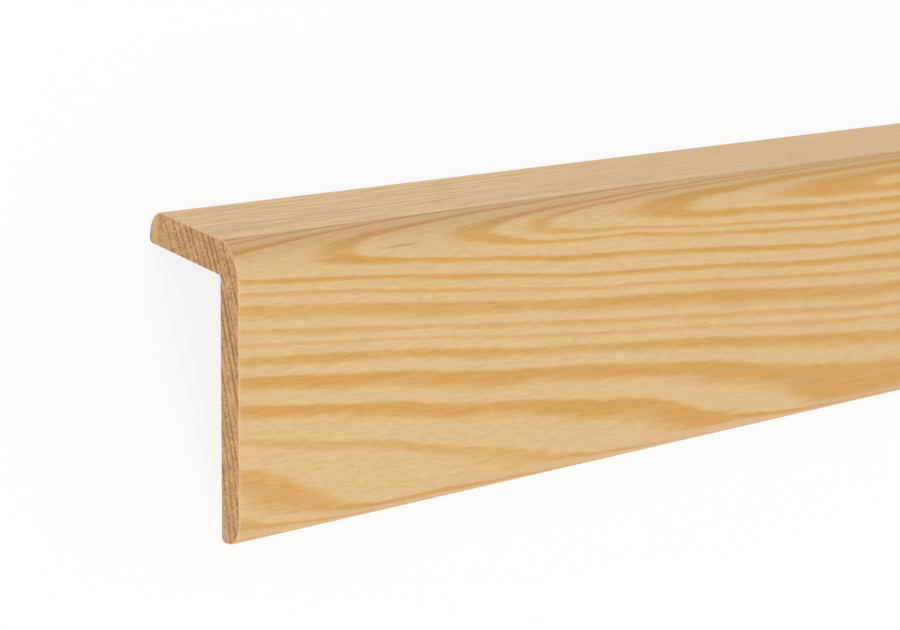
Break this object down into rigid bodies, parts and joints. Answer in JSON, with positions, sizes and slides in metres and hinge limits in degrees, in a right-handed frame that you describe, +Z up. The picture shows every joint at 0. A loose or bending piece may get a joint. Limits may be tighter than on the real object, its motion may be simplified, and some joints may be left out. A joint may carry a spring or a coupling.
{
  "type": "corner guard moulding",
  "caption": "Length of clear pine corner moulding: an L-section with unequal legs, rounded show edges and a square inner corner, made to cover the outside corner of a wall.",
  "frame": {"origin": "middle of the length and of the width, on the floor that the inner edges of both tips rest on", "axes": "+X along the length, +Z up through the rounded outer corner's side, -Y towards the long leg's tip and +Y towards the short leg's tip"},
  "size_m": [2.4, 0.0494, 0.0237],
  "materials": {
    "pine": "matte"
  },
  "bodies": {
    "root": {"moulding": "pine"}
  },
  "joints": []
}
